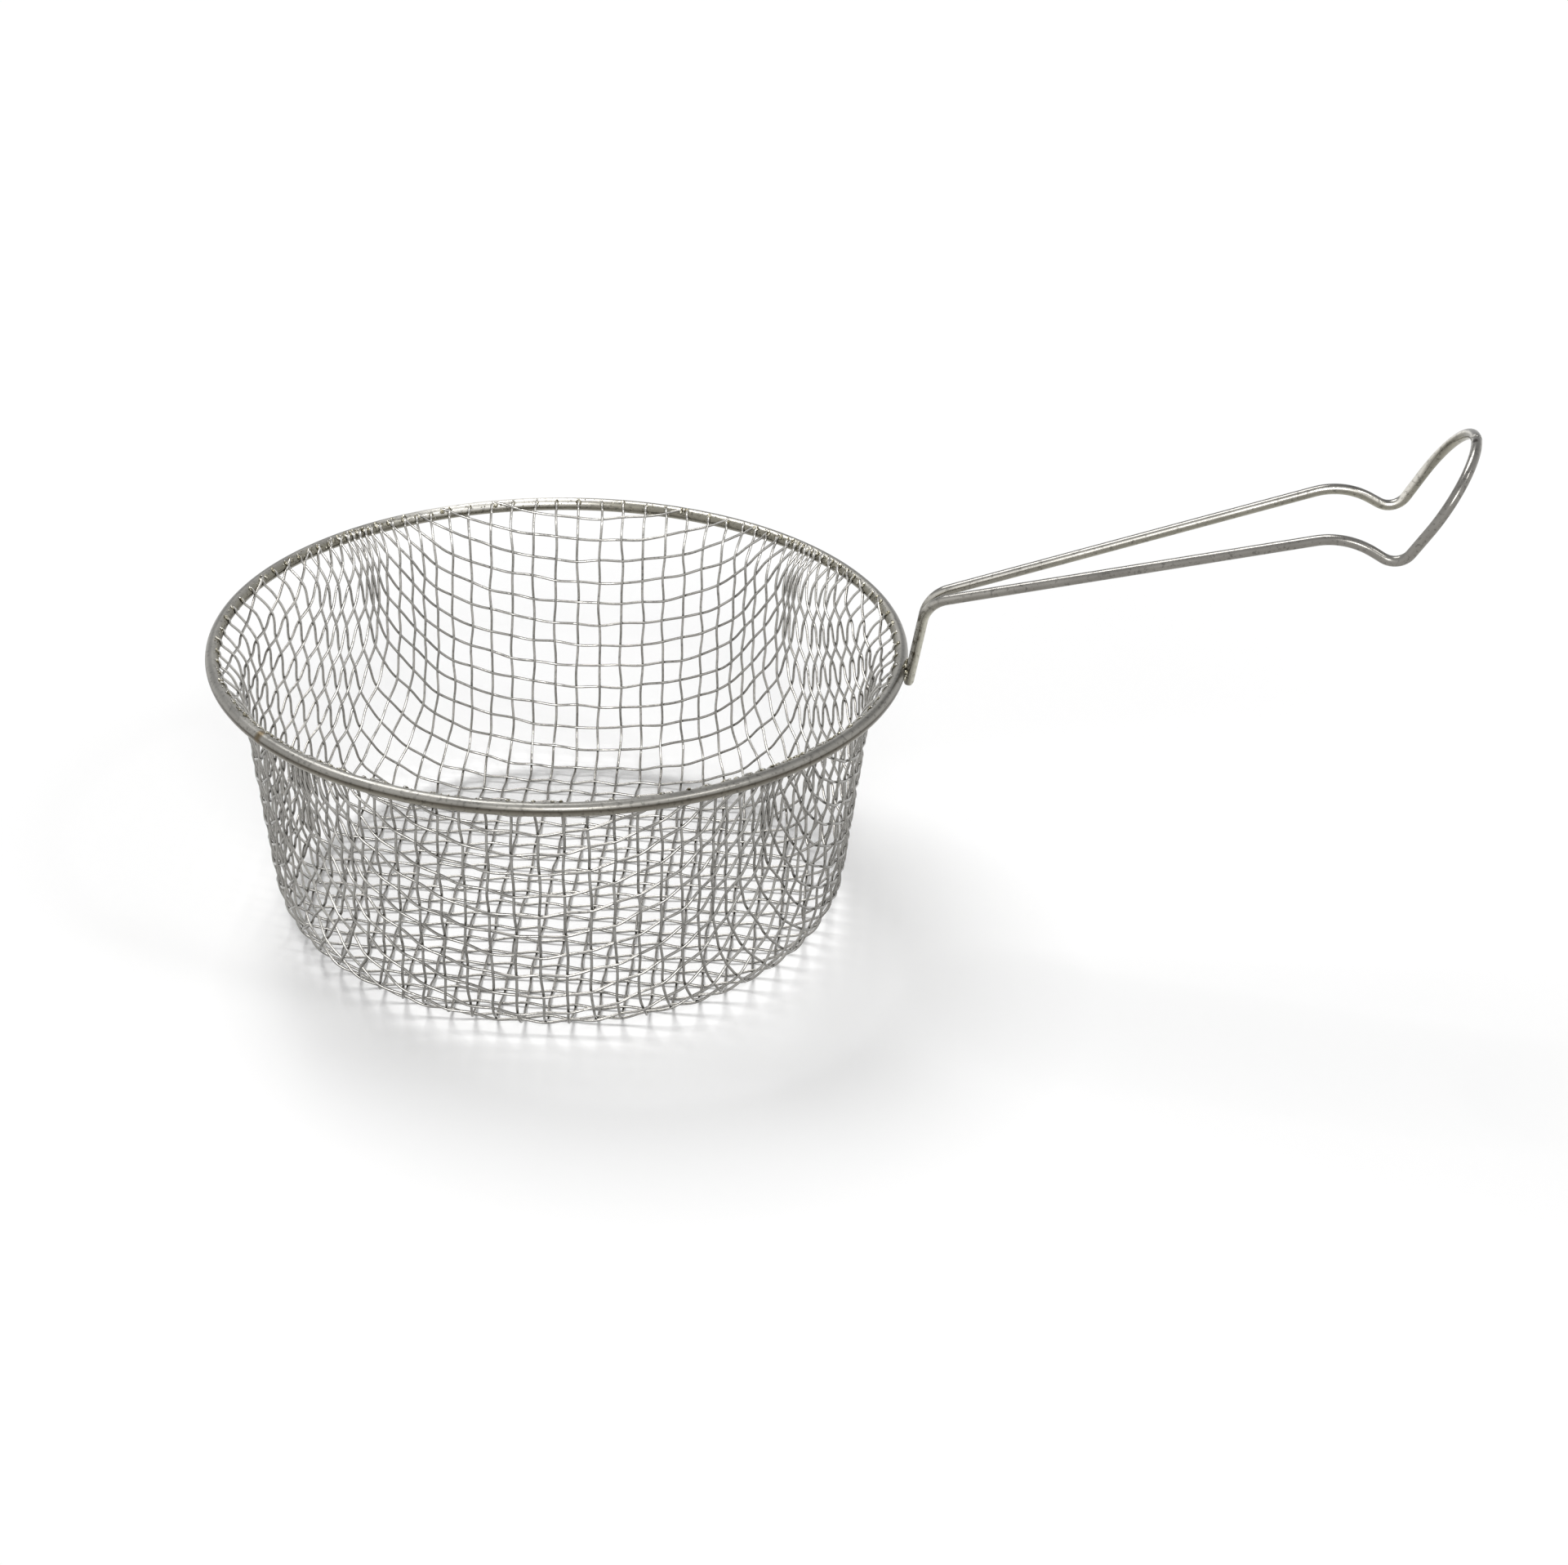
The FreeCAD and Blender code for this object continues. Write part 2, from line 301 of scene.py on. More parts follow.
# Wires
def lap_line():
    """Where the cloth first touches the ring: profile length, section angle, distance from its middle."""
    search_back, search_ahead, search_steps = 6.0, 1.0, 400
    hug = rim_wire_radius + lap_stand * mesh_wire_radius
    s = np.linspace(profile.flare_end - search_back, profile.flare_end + search_ahead, search_steps)
    x, z = profile.at(s)[:2]
    gap = np.hypot(x - rim_centre_radius, z - rim_height)
    touch = int(np.argmax(gap < hug))
    section = math.atan2(z[touch] - rim_height, rim_centre_radius - x[touch])
    return s[touch], section, hug


lap_start, lap_touch, lap_hug = lap_line()


def ring_point(section, angle, distance):
    """Points around the ring: section angle up from its inner side, ring angle, distance from its middle."""
    r = rim_centre_radius - distance * np.cos(section)
    h = rim_height + distance * np.sin(section)
    return np.stack([r * np.cos(angle), r * np.sin(angle), h], -1)


def smooth_rows(rows):
    """Evens out a run of points in place, and leaves its two ends where they are."""
    for _ in range(lap_smoothing):
        rows[1:-1] = (rows[:-2] + 2 * rows[1:-1] + rows[2:]) / 4


def lapped_end(last_s, last_angle, slant, section_end):
    """Points and outward directions of a wire end on the ring's inner face, and its last ring angle."""
    sections = np.linspace(lap_touch, section_end, lap_steps)
    length = lap_start - last_s + (sections - lap_touch) * lap_hug
    angles = last_angle + slant * length / rim_centre_radius
    sunk = lap_hug - lap_sink * mesh_wire_radius * np.linspace(0.0, 1.0, lap_steps) ** 2
    points = ring_point(sections, angles, sunk)
    outward = ring_point(sections, angles, 0.0) - points
    return points, outward / np.linalg.norm(outward, axis=1)[:, None], angles[-1]


def kept_run(s):
    """The unbroken run of a wire's points on the bowl, around the one nearest its middle, or None."""
    shortest = 3
    keep = ~np.isnan(s) & (s < lap_start)
    first = last = int(np.argmin(np.where(np.isnan(s), np.inf, s)))
    if not keep[first]:
        return None
    while first > 0 and keep[first - 1]:
        first -= 1
    while last < len(s) - 1 and keep[last + 1]:
        last += 1
    return slice(first, last + 1) if last - first >= shortest else None


def wire_path(place, number, along_y):
    """Middle line and outward normals of one wire from lap to lap, and where its ends lie on the ring.

    The wire's place across the cloth is in pitches, and None comes back where it misses the bowl.
    """
    reach = profile.flare_end / pitch + 3
    t = np.arange(-reach, reach, 1.0 / segments_per_span)
    line = place + sum(size * np.sin(t * along + number * across) for size, along, across in wander)
    s, angle = cloth_point(line, t) if along_y else cloth_point(t, line)
    run = kept_run(s)
    if run is None:
        return None
    s, angle, t = s[run], angle[run], t[run]
    _, _, normal_x, normal_z = profile.at(s)
    normals = np.stack([normal_x * np.cos(angle), normal_x * np.sin(angle), normal_z], -1)
    crossing = t - (cloth_shift_y if along_y else cloth_shift_x)
    side = 1.0 if along_y else -1.0
    fade = np.clip((lap_start - s) / (fade_pitches * pitch), 0.0, 1.0)
    lift = side * crimp * np.cos(math.pi * (crossing + number)) * fade
    points = on_bowl(s, angle) + normals * lift[:, None]
    laps = []
    ends = []
    for index, inner in ((0, 1), (-1, -2)):
        turn = wrapped(angle[index] - angle[inner])
        rise = max(abs(s[index] - s[inner]), least_rise)
        slant = np.clip(turn * rim_centre_radius / rise, -most_slant, most_slant)
        section_end = lap_end + rng.uniform(*lap_end_change)
        lap_points, lap_normals, end_angle = lapped_end(s[index], angle[index], slant, section_end)
        laps.append((lap_points, lap_normals))
        ends.append((end_angle, section_end))
    points = np.concatenate([laps[0][0][::-1], points, laps[1][0]])
    normals = np.concatenate([laps[0][1][::-1], normals, laps[1][1]])
    smooth_rows(points[:2 * lap_steps])
    smooth_rows(points[-2 * lap_steps:])
    return points, normals, ends


# Meshes. cap_rings gives the width and the push outwards of each ring of a domed end, in tube radii.
cap_rings = ((0.75, 0.6), (0.0, 0.95))
merge_distance = 1e-4


def grid_faces(grid):
    """Quads between the rows of a grid of vertex numbers, whose columns go all the way round."""
    beside = np.roll(grid, -1, axis=1)
    return np.stack([grid[:-1], grid[1:], beside[1:], beside[:-1]], -1).reshape(-1, 4)


def tube(points, normals, radii, sides=tube_sides, closed=False):
    """Vertices and faces of a round tube with domed ends, or of a closed ring, around a line of points."""
    if closed:
        tangents = np.roll(points, -1, axis=0) - np.roll(points, 1, axis=0)
    else:
        tangents = np.gradient(points, axis=0)
    tangents /= np.linalg.norm(tangents, axis=1)[:, None]
    across = np.cross(tangents, normals)
    across /= np.linalg.norm(across, axis=1)[:, None]
    up = np.cross(across, tangents)
    around = round_angles(sides)
    radii = np.broadcast_to(radii, len(points))
    circle = across[:, None] * np.cos(around)[None, :, None] + up[:, None] * np.sin(around)[None, :, None]
    rings = points[:, None] + circle * radii[:, None, None]
    if not closed:
        caps = []
        for index, sign in ((0, -1), (-1, 1)):
            for width, push in cap_rings:
                centre = points[index] + sign * tangents[index] * radii[index] * push
                caps.append(centre + circle[index] * radii[index] * width)
        rings = np.concatenate([caps[1::-1], rings, caps[2:]])
    grid = np.arange(len(rings) * sides).reshape(len(rings), sides)
    if closed:
        grid = np.concatenate([grid, grid[:1]])
    return rings.reshape(-1, 3), grid_faces(grid)


def lump(centre, axes, sizes, unevenness, around, rows):
    """Vertices and faces of a small uneven blob with the given axes and half sizes."""
    polar = np.linspace(0.0, math.pi, rows + 1)
    turn = round_angles(around)
    swell = 1 + unevenness * rng.uniform(-1.0, 1.0, (rows + 1, around))
    swell[0], swell[-1] = 1.0, 1.0
    local = np.stack([np.sin(polar)[:, None] * np.cos(turn), np.sin(polar)[:, None] * np.sin(turn),
                      np.cos(polar)[:, None] * np.ones(around)], -1)
    local = local * swell[..., None] * np.asarray(sizes)
    verts = centre + local.reshape(-1, 3) @ np.asarray(axes)
    return verts, grid_faces(np.arange((rows + 1) * around).reshape(rows + 1, around))


def mesh_object(name, verts, faces, material, smooth=True):
    """A mesh object from vertices in mm, with those that coincide merged."""
    mesh = bpy.data.meshes.new(name)
    places = [tuple(vert) for vert in np.asarray(verts) * MM]
    mesh.from_pydata(places, [], [tuple(int(number) for number in face) for face in faces])
    shape = bmesh.new()
    shape.from_mesh(mesh)
    bmesh.ops.remove_doubles(shape, verts=shape.verts, dist=merge_distance * MM)
    shape.to_mesh(mesh)
    shape.free()
    mesh.polygons.foreach_set("use_smooth", [smooth] * len(mesh.polygons))
    mesh.materials.append(material)
    made = bpy.data.objects.new(name, mesh)
    bpy.context.scene.collection.objects.link(made)
    return made


def joined(parts):
    """Several (vertices, faces) pairs as one."""
    verts, faces, base = [], [], 0
    for v, f in parts:
        verts.append(v)
        faces.append(f + base)
        base += len(v)
    return np.concatenate(verts), np.concatenate(faces)


# Nodes of the materials
noise_roughness = 0.6


def node_material(name):
    made = bpy.data.materials.new(name)
    made.use_nodes = True
    tree = made.node_tree
    return made, tree, tree.nodes["Principled BSDF"]


def place_on(tree):
    """Places on the piece, in metres in the part's own frame."""
    return tree.nodes.new("ShaderNodeTexCoord").outputs["Object"]


def split(tree, vector):
    made = tree.nodes.new("ShaderNodeSeparateXYZ")
    tree.links.new(vector, made.inputs[0])
    return made.outputs


def split_place(tree):
    return split(tree, place_on(tree))


def split_normal(tree):
    return split(tree, tree.nodes.new("ShaderNodeNewGeometry").outputs["Normal"])


def noise(tree, scale, detail=3.0):
    """Uneven pattern with the given number of features per metre."""
    texture = tree.nodes.new("ShaderNodeTexNoise")
    texture.inputs["Scale"].default_value = scale
    texture.inputs["Detail"].default_value = detail
    texture.inputs["Roughness"].default_value = noise_roughness
    tree.links.new(place_on(tree), texture.inputs["Vector"])
    return texture.outputs["Fac"]


def ramp(tree, value, stops):
    """Colour of a value from 0 to 1, by stops of place and colour."""
    made = tree.nodes.new("ShaderNodeValToRGB")
    tree.links.new(value, made.inputs["Fac"])
    while len(made.color_ramp.elements) < len(stops):
        made.color_ramp.elements.new(0.5)
    for element, (place, colour) in zip(made.color_ramp.elements, stops):
        element.position = place
        element.color = (*colour, 1.0)
    return made.outputs["Color"]


def grey(level):
    return (level, level, level)


def grey_ramp(tree, value, *stops):
    """Level of a value from 0 to 1, by stops of place and level."""
    return ramp(tree, value, [(place, grey(level)) for place, level in stops])


def maths(tree, operation, *values):
    """A math node whose inputs are sockets or plain numbers."""
    made = tree.nodes.new("ShaderNodeMath")
    made.operation = operation
    for socket, value in zip(made.inputs, values):
        if isinstance(value, (int, float)):
            socket.default_value = value
        else:
            tree.links.new(value, socket)
    return made.outputs[0]


def mixed(tree, factor, first, second, blend="MIX"):
    """Two colours mixed, each a socket or a plain colour."""
    made = tree.nodes.new("ShaderNodeMix")
    made.data_type = "RGBA"
    made.blend_type = blend
    ends = {"Factor": factor, "A": first, "B": second}
    for socket in made.inputs:
        if not socket.enabled or socket.name not in ends:
            continue
        value = ends[socket.name]
        if isinstance(value, tuple):
            socket.default_value = (*value, 1.0)
        elif isinstance(value, (int, float)):
            socket.default_value = value
        else:
            tree.links.new(value, socket)
    return next(socket for socket in made.outputs if socket.enabled)


def multiplied(tree, first, second):
    """Two colours multiplied."""
    return mixed(tree, 1.0, first, second, "MULTIPLY")


def as_share(tree, value, reach):
    """0 where a value is -reach, 0.5 where it is 0, and 1 where it is reach."""
    return maths(tree, "MULTIPLY_ADD", value, 0.5 / reach, 0.5)


def facing(tree, axis):
    """0 where a face looks back along an axis, 0.5 where it is side on, 1 where it looks along it."""
    return as_share(tree, split_normal(tree)[axis], 1.0)


def flat_product(tree, first, second):
    """Scalar product of two split vectors as seen from above."""
    along_x = maths(tree, "MULTIPLY", first["X"], second["X"])
    along_y = maths(tree, "MULTIPLY", first["Y"], second["Y"])
    return maths(tree, "ADD", along_x, along_y)


def near_point(tree, point, inner, outer):
    """1 within the inner distance of a point of the part, falling to 0 at the outer one."""
    far = tree.nodes.new("ShaderNodeVectorMath")
    far.operation = "DISTANCE"
    tree.links.new(place_on(tree), far.inputs[0])
    far.inputs[1].default_value = [value * MM for value in point]
    made = tree.nodes.new("ShaderNodeMapRange")
    made.interpolation_type = "SMOOTHSTEP"
    made.inputs["From Min"].default_value = inner * MM
    made.inputs["From Max"].default_value = outer * MM
    made.inputs["To Min"].default_value = 1.0
    made.inputs["To Max"].default_value = 0.0
    tree.links.new(far.outputs["Value"], made.inputs["Value"])
    return made.outputs["Result"]


def bump(tree, shader, height, strength, distance):
    made = tree.nodes.new("ShaderNodeBump")
    made.inputs["Strength"].default_value = strength
    made.inputs["Distance"].default_value = distance * MM
    tree.links.new(height, made.inputs["Height"])
    tree.links.new(made.outputs["Normal"], shader.inputs["Normal"])


# Materials. Scales are features per metre, ring_face_blend is in wire radii, other distances are mm,
# and the stops of a ramp by facing run from faces that look down or back to faces that look up or ahead.
patch_scale = 70.0
speck_scale = 900.0
grain_scale = 1400.0
grain_strength = 0.35
burn_scale = 480.0
weld_scale = 1100.0
ring_face_blend = 0.3125
leg_blend = 10.0
# A painted highlight over the top of the ring, centred at this ring angle and fading over this reach
painted_highlight_angle = math.radians(112.0)
painted_highlight_reach = (12.0, 42.0)
joint_reach = (1.8, 2.8)
shin = (rim_outer_radius + 2.4, 0.0, rim_height + 7.0)
riser_reach = (11.0, 17.0)
burn_reach = (9.0, 18.0)
stain = (rim_outer_radius + loop[0] - 0.8, -3.0, rim_height + loop[2] + 1.2)
stain_reach = (0.5, 1.2)
# Colours of the painted highlight on the ring's top, the butt weld, the burnt marks and the stain
painted_highlight_colour = (0.68, 0.665, 0.62)
joint_brown = (0.12, 0.09, 0.05)
burnt_steel = (0.08, 0.07, 0.05)
stain_black = (0.03, 0.025, 0.02)


def steel(name, colour_of, roughness, grain):
    """Drawn steel wire. colour_of makes the base colour, which varies in patches and in fine specks."""
    smoother, rougher = roughness
    made, tree, shader = node_material(name)
    shader.inputs["Metallic"].default_value = 1.0
    patches = noise(tree, patch_scale)
    colour = multiplied(tree, colour_of(tree), grey_ramp(tree, patches, (0.3, 0.78), (0.7, 1.0)))
    specks = grey_ramp(tree, noise(tree, speck_scale, detail=2.0), (0.32, 0.62), (0.45, 1.0))
    tree.links.new(multiplied(tree, colour, specks), shader.inputs["Base Color"])
    uneven_roughness = grey_ramp(tree, patches, (0.35, smoother), (0.65, rougher))
    tree.links.new(uneven_roughness, shader.inputs["Roughness"])
    bump(tree, shader, noise(tree, grain_scale, detail=4.0), grain_strength, grain)
    return made


def mesh_colour(tree):
    """Colour by facing that paints reflection and shade: lightest on faces that look up at a slant, painted
    dark on top and below, and painted duller on the bowl's outside.
    """
    colour = ramp(tree, facing(tree, "Z"), [
        (0.0, (0.24, 0.228, 0.205)), (0.22, (0.275, 0.262, 0.238)), (0.5, (0.44, 0.43, 0.405)),
        (0.70, (0.58, 0.568, 0.54)), (0.82, (0.56, 0.548, 0.52)), (0.90, (0.29, 0.28, 0.26)),
        (1.0, (0.23, 0.22, 0.205))])
    outward = as_share(tree, flat_product(tree, split_place(tree), split_normal(tree)), base_radius * MM)
    return multiplied(tree, colour, grey_ramp(tree, outward, (0.50, 1.0), (0.66, 0.76)))


def ring_colour(tree):
    """Colour by height on the ring that paints its light and shade: on the outside a painted highlight band
    above the middle with a dark painted shade just below it, dull grey on top, olive on the inner face, a
    painted highlight over the top near the back, brown at the butt weld.
    """
    place = split_place(tree)
    up = as_share(tree, maths(tree, "SUBTRACT", place["Z"], rim_height * MM), rim_wire_radius * MM)
    radius = maths(tree, "SQRT", flat_product(tree, place, place))
    out = maths(tree, "SUBTRACT", radius, rim_centre_radius * MM)
    out = as_share(tree, out, ring_face_blend * rim_wire_radius * MM)
    inner = ramp(tree, up, [
        (0.0, (0.30, 0.285, 0.235)), (0.30, (0.30, 0.285, 0.235)), (0.60, (0.27, 0.255, 0.21)),
        (0.80, (0.25, 0.24, 0.20)), (0.95, (0.27, 0.262, 0.24))])
    outer = ramp(tree, up, [
        (0.0, (0.32, 0.30, 0.25)), (0.25, (0.29, 0.272, 0.23)), (0.40, (0.20, 0.187, 0.155)),
        (0.52, (0.12, 0.108, 0.088)), (0.60, (0.085, 0.075, 0.06)), (0.68, (0.26, 0.25, 0.225)),
        (0.80, (0.32, 0.31, 0.285)), (0.89, (0.25, 0.243, 0.225)), (0.96, (0.16, 0.156, 0.145))])
    colour = mixed(tree, grey_ramp(tree, out, (0.3, 0.0), (0.7, 1.0)), inner, outer)
    # A painted highlight over the top of the ring near the back
    painted_highlight_mask = near_point(tree, ring_point(0.0, painted_highlight_angle, 0.0), *painted_highlight_reach)
    painted_highlight_on_top = maths(tree, "MULTIPLY", painted_highlight_mask, grey_ramp(tree, up, (0.50, 0.0), (0.66, 1.0)))
    colour = mixed(tree, painted_highlight_on_top, colour, painted_highlight_colour)
    joint = near_point(tree, ring_point(0.0, joint_angle, 0.0), *joint_reach)
    return mixed(tree, joint, colour, joint_brown)


def handle_colour(tree):
    """Colour by facing that paints light and shade: a painted highlight band on the far leg, the near leg a
    duller shaded copy, the riser painted lighter on its outward side; burnt marks up from the feet and a
    stain at the loop's tip.
    """
    up = facing(tree, "Z")
    far = ramp(tree, up, [
        (0.0, (0.36, 0.345, 0.285)), (0.25, (0.33, 0.315, 0.26)), (0.40, (0.25, 0.238, 0.195)),
        (0.54, (0.25, 0.238, 0.20)), (0.62, (0.42, 0.40, 0.35)), (0.70, (0.76, 0.735, 0.67)),
        (0.79, (0.76, 0.74, 0.68)), (0.86, (0.27, 0.263, 0.243)), (0.94, (0.135, 0.131, 0.123))])
    near = ramp(tree, up, [
        (0.0, (0.26, 0.247, 0.222)), (0.40, (0.25, 0.238, 0.215)), (0.52, (0.25, 0.238, 0.217)),
        (0.62, (0.28, 0.268, 0.246)), (0.71, (0.27, 0.26, 0.24)), (0.80, (0.22, 0.212, 0.197)),
        (0.88, (0.20, 0.193, 0.18)), (0.96, (0.16, 0.155, 0.145))])
    side = as_share(tree, split_place(tree)["Y"], leg_blend * MM)
    colour = mixed(tree, grey_ramp(tree, side, (0.0, 0.0), (1.0, 1.0)), near, far)
    outward = facing(tree, "X")
    riser = ramp(tree, outward, [
        (0.10, (0.32, 0.31, 0.28)), (0.36, (0.23, 0.22, 0.185)), (0.56, (0.30, 0.287, 0.24)),
        (0.80, (0.52, 0.505, 0.43))])
    colour = mixed(tree, near_point(tree, shin, *riser_reach), colour, riser)
    burnt = grey_ramp(tree, noise(tree, burn_scale, detail=4.0), (0.52, 0.0), (0.60, 1.0))
    dark_side = grey_ramp(tree, outward, (0.45, 1.0), (0.66, 0.0))
    marks = maths(tree, "MULTIPLY", burnt, dark_side)
    marks = maths(tree, "MULTIPLY", marks, near_point(tree, shin, *burn_reach))
    colour = mixed(tree, marks, colour, burnt_steel)
    return mixed(tree, near_point(tree, stain, *stain_reach), colour, stain_black)


def weld_colour(tree):
    """Bright tin and brown scale side by side."""
    return ramp(tree, noise(tree, weld_scale), [
        (0.36, (0.07, 0.06, 0.035)), (0.48, (0.24, 0.22, 0.16)), (0.60, (0.60, 0.58, 0.50))])


mesh_steel = steel("mesh_steel", mesh_colour, roughness=(0.12, 0.24), grain=0.02)
ring_steel = steel("ring_steel", ring_colour, roughness=(0.26, 0.38), grain=0.04)
handle_steel = steel("handle_steel", handle_colour, roughness=(0.18, 0.28), grain=0.02)
weld_metal = steel("weld_metal", weld_colour, roughness=(0.22, 0.42), grain=0.08)


def dressed(name, made, material, slot, *replaced):
    """One piece of the part: it rides on the root body and stands for the nodes named."""
    piece = mesh_object(name, *made, material)
    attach(piece, "root")
    if replaced:
        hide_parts(*replaced)


# The cloth
def cloth_wires(shift, along_y):
    """All wires of one direction as one mesh, and where their ends lie on the ring."""
    parts = []
    ends = []
    reach = int(profile.flare_end / pitch) + 2
    for number in range(-reach, reach + 1):
        path = wire_path(number + shift, number, along_y)
        if path is not None:
            points, normals, wire_ends = path
            parts.append(tube(points, normals, mesh_wire_radius))
            ends.extend(wire_ends)
    return joined(parts), ends


warp, warp_ends = cloth_wires(cloth_shift_x, True)
weft, weft_ends = cloth_wires(cloth_shift_y, False)
dressed("cloth_warp", warp, mesh_steel, "mesh", "mesh_bowl")
dressed("cloth_weft", weft, mesh_steel, "mesh", "mesh_bowl")


# The ring
def rim_wire():
    """Round wire bent to a circle, with a low collar where its ends are welded together."""
    angle = round_angles(ring_steps)
    points = ring_point(np.zeros(ring_steps), angle, 0.0)
    away = wrapped(angle - joint_angle) * rim_centre_radius
    radii = ring_surface * (1 + collar_rise * np.exp(-(away / collar_width) ** 2))
    return tube(points, np.tile([0.0, 0.0, 1.0], (ring_steps, 1)), radii, ring_sides, closed=True)


dressed("rim_wire", rim_wire(), ring_steel, "ring", "rim_ring")


# The handle
def straight_run(start, end, spacing):
    """Points along a straight line, without its first one."""
    steps = max(1, int(round(np.linalg.norm(end - start) / spacing)))
    return [start + (end - start) * step / steps for step in range(1, steps + 1)]


def bent_line(stops, spacing):
    """Points along straight runs, with an arc of the given radius in each corner."""
    least_arc_points = 4
    run_spacing = 4 * spacing
    corners = [np.array([rim_outer_radius + x, y, rim_height + z]) for x, y, z, _ in stops]
    radii = [radius for _, _, _, radius in stops]
    points = [corners[0]]
    for k in range(1, len(corners) - 1):
        back = (corners[k - 1] - corners[k]) / np.linalg.norm(corners[k - 1] - corners[k])
        ahead = (corners[k + 1] - corners[k]) / np.linalg.norm(corners[k + 1] - corners[k])
        half = math.acos(back @ ahead) / 2
        middle = corners[k] + (back + ahead) / np.linalg.norm(back + ahead) * radii[k] / math.sin(half)
        enter = corners[k] + back * radii[k] / math.tan(half) - middle
        leave = corners[k] + ahead * radii[k] / math.tan(half) - middle
        turn = math.pi - 2 * half
        count = max(least_arc_points, int(math.ceil(radii[k] * turn / spacing)))
        points += straight_run(points[-1], middle + enter, run_spacing)
        for step in range(1, count + 1):
            part = turn * step / count
            points.append(middle + (enter * math.sin(turn - part) + leave * math.sin(part)) / math.sin(turn))
    return np.array(points + straight_run(points[-1], corners[-1], run_spacing))


def carried_normals(points):
    """Normals carried along a line without twist."""
    tangents = np.gradient(points, axis=0)
    tangents /= np.linalg.norm(tangents, axis=1)[:, None]
    normal = np.array([1.0, 0.0, 0.0])
    normals = []
    for tangent in tangents:
        normal = normal - tangent * (normal @ tangent)
        normal /= np.linalg.norm(normal)
        normals.append(normal)
    return np.array(normals)


def handle_wire():
    """Round wire from foot to foot, the second leg a mirror image of the first."""
    leg = [foot, bend, knee, dip, loop]
    back = [(x, -y, z, radius) for x, y, z, radius in reversed(leg)]
    points = bent_line(leg + back, handle_spacing)
    return tube(points, carried_normals(points), handle_wire_radius, handle_sides)


dressed("handle_wire", handle_wire(), handle_steel, "handle", "handle")

# Welds. A pair gives the limits of a random draw. nugget_back and spatter_sections are section angles
# in radians, spatter_lift, spatter_flatness and drop_height are shares of the lump's size, the rest is mm.
nugget_back = (0.15, 0.5)
nugget_lift = 0.12
nugget_sizes = ((0.5, 0.85), (0.7, 1.1), (0.28, 0.42))
nugget_unevenness = 0.16
spatter_count = 4
spatter_sections = (-0.3, 1.25)
spatter_scatter = 2.2
spatter_size = (0.12, 0.26)
spatter_lift = 0.4
spatter_flatness = 0.7
spatter_unevenness = 0.15
bead_places = (0.2, 1.45, 2.75)
bead_count = 3
bead_inset = 0.1
bead_reach = (-0.3, 0.25)
bead_rise = (-1.9, 1.2)
bead_sizes = ((0.45, 0.8), (0.45, 0.8), (0.7, 1.1))
bead_unevenness = 0.14
drop_count = 14
drop_reach = (-1.1, 0.4)
drop_spread = (1.2, 3.4)
drop_rise = (-2.0, 1.8)
drop_size = (0.25, 0.45)
drop_height = 1.3
drop_unevenness = 0.18


def drawn(limits):
    """A random size for each pair of limits, in their order."""
    return [rng.uniform(low, high) for low, high in limits]


def ring_axes(section, angle):
    """Directions along the ring, around its section and out of its surface, at one place."""
    inward = np.array([-math.cos(angle), -math.sin(angle), 0.0])
    out = inward * math.cos(section) + np.array([0.0, 0.0, math.sin(section)])
    around = -inward * math.sin(section) + np.array([0.0, 0.0, math.cos(section)])
    along = np.array([math.sin(angle), -math.cos(angle), 0.0])
    return np.array([along, around, out])


def lap_welds(lap_ends):
    """A flattened nugget over each lapped end, and spatter strewn about it on the ring's inner face."""
    parts = []
    for angle, section in lap_ends:
        at = section - rng.uniform(*nugget_back)
        centre = ring_point(at, angle, ring_surface + nugget_lift)
        sizes = drawn(nugget_sizes)
        parts.append(lump(centre, ring_axes(at, angle), sizes, nugget_unevenness, around=12, rows=8))
        for _ in range(spatter_count):
            at = rng.uniform(*spatter_sections)
            near = angle + rng.normal(0.0, spatter_scatter) / rim_centre_radius
            size = rng.uniform(*spatter_size)
            centre = ring_point(at, near, ring_surface + spatter_lift * size)
            sizes = (size, size, size * spatter_flatness)
            parts.append(lump(centre, ring_axes(at, near), sizes, spatter_unevenness, around=8, rows=5))
    return joined(parts)


def foot_welds():
    """Beads of weld on both sides of each foot, where it lies on the ring's outer edge, and small drops."""
    parts = []
    for side in (-1, 1):
        for place in bead_places:
            for _ in range(bead_count):
                rise = rng.uniform(*bead_rise)
                reach = rim_outer_radius - bead_inset + rng.uniform(*bead_reach)
                centre = np.array([reach, side * place, rim_height + rise])
                sizes = drawn(bead_sizes)
                parts.append(lump(centre, np.eye(3), sizes, bead_unevenness, around=14, rows=10))
        for _ in range(drop_count):
            reach, spread, rise = drawn((drop_reach, drop_spread, drop_rise))
            centre = np.array([rim_outer_radius + reach, side * spread, rim_height + rise])
            size = rng.uniform(*drop_size)
            sizes = (size, size, drop_height * size)
            parts.append(lump(centre, np.eye(3), sizes, drop_unevenness, around=8, rows=6))
    return joined(parts)


dressed("lap_welds", lap_welds(warp_ends + weft_ends), weld_metal, "ring")
dressed("foot_welds", foot_welds(), weld_metal, "ring")

# Floor and light. Shares are of the light that a level surface gets, and sum to 1. The floor is
# seen a touch lighter than white, which hides its noise.
key_share = 0.62
front_share = 0.17
side_share = 0.07
sky_share = 1.0 - key_share - front_share - side_share
white = grey(1.0)
floor_grey = 0.90
floor_seen = 1.01
floor_lift = floor_seen - floor_grey
floor_roughness = 0.9
floor_size = 12000.0
floor_gap = 0.02
lamp_distance = 1000.0


def seen_rays(tree):
    """1 for camera, glossy and transmission rays, 0 for the rays that carry light."""
    rays = tree.nodes.new("ShaderNodeLightPath")
    glossy = maths(tree, "MAXIMUM", rays.outputs["Is Glossy Ray"], rays.outputs["Is Transmission Ray"])
    return maths(tree, "MAXIMUM", rays.outputs["Is Camera Ray"], glossy)


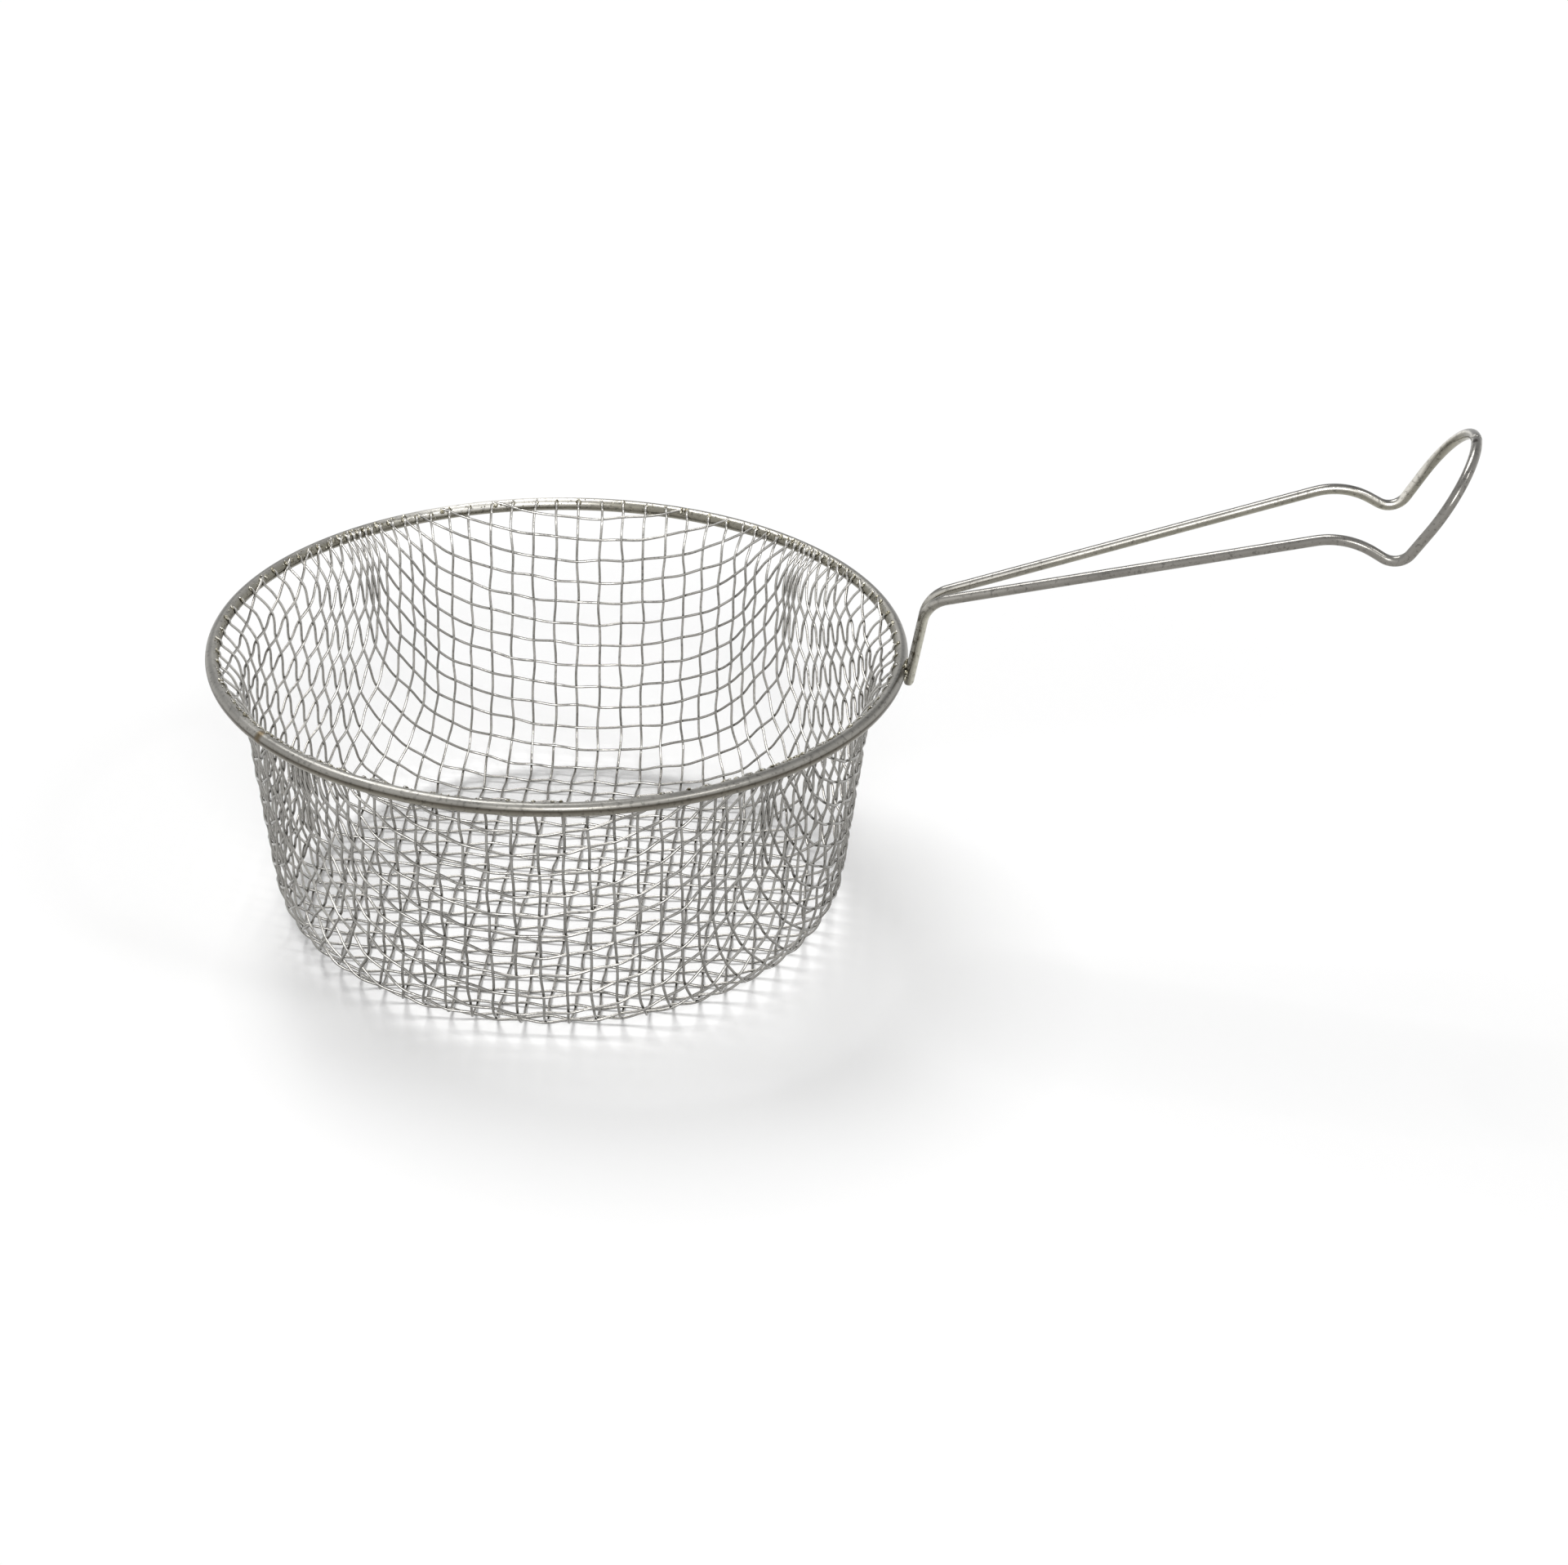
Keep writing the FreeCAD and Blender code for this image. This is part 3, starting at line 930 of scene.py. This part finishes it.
def floor_paper():
    """A pale diffuse floor, lifted to white where it is seen, so that only shadows show on it."""
    made, tree, shader = node_material("floor_paper")
    shader.inputs["Base Color"].default_value = (*grey(floor_grey), 1.0)
    shader.inputs["Roughness"].default_value = floor_roughness
    shader.inputs["Specular IOR Level"].default_value = 0.0
    shader.inputs["Emission Color"].default_value = (*white, 1.0)
    tree.links.new(maths(tree, "MULTIPLY", seen_rays(tree), floor_lift), shader.inputs["Emission Strength"])
    return made


floor_corners = np.array([(-1, -1, 0), (1, -1, 0), (1, 1, 0), (-1, 1, 0)], float) * floor_size / 2
floor_corners[:, 2] = -floor_gap
mesh_object("floor", floor_corners, [(0, 1, 2, 3)], floor_paper(), smooth=False)


def studio_world():
    """An even sky that is white where it is seen and gives only its share of the light."""
    world = bpy.data.worlds.new("studio")
    bpy.context.scene.world = world
    world.use_nodes = True
    tree = world.node_tree
    backdrop = tree.nodes["Background"]
    backdrop.inputs["Color"].default_value = (*white, 1.0)
    level = maths(tree, "MULTIPLY_ADD", seen_rays(tree), 1.0 - sky_share, sky_share)
    tree.links.new(level, backdrop.inputs["Strength"])


def look_at(location, target, roll=0.0):
    """World matrix of a lamp or camera at location that faces target."""
    ahead = (Vector(target) - Vector(location)).normalized()
    turn = ahead.to_track_quat("-Z", "Y").to_matrix().to_4x4()
    return Matrix.Translation(Vector(location) * MM) @ turn @ Matrix.Rotation(roll, 4, "Z")


def soft_sun(name, direction, share, spread):
    """A soft lamp far away, spread degrees wide, that gives a level surface its share of full light."""
    light = bpy.data.lights.new(name, "SUN")
    light.angle = math.radians(spread)
    light.energy = share * math.pi / Vector(direction).normalized().z
    lamp = bpy.data.objects.new(name, light)
    bpy.context.scene.collection.objects.link(lamp)
    lamp.matrix_world = look_at(Vector(direction) * lamp_distance, (0.0, 0.0, 0.0))


studio_world()
soft_sun("key", (-0.37, 0.43, 1.0), key_share, 30.0)
soft_sun("front", (0.22, -1.0, 0.76), front_share, 20.0)
soft_sun("side", (0.75, -0.35, 0.90), side_share, 10.0)

# Camera
lens = 79.39
sensor_width = 36.0
camera_place = (162.08, -874.50, 520.97)
camera_aim = (66.955, -10.995, 48.802)
camera_roll = math.radians(1.34)
view_depth = 50000.0


def add_camera():
    """A camera at the photograph's angle."""
    optics = bpy.data.cameras.new("camera")
    optics.lens = lens
    optics.sensor_width = sensor_width
    optics.clip_end = view_depth * MM
    camera = bpy.data.objects.new("camera", optics)
    bpy.context.scene.collection.objects.link(camera)
    camera.matrix_world = look_at(camera_place, camera_aim, camera_roll)
    bpy.context.scene.camera = camera


add_camera()
bpy.context.scene.view_settings.view_transform = "Standard"
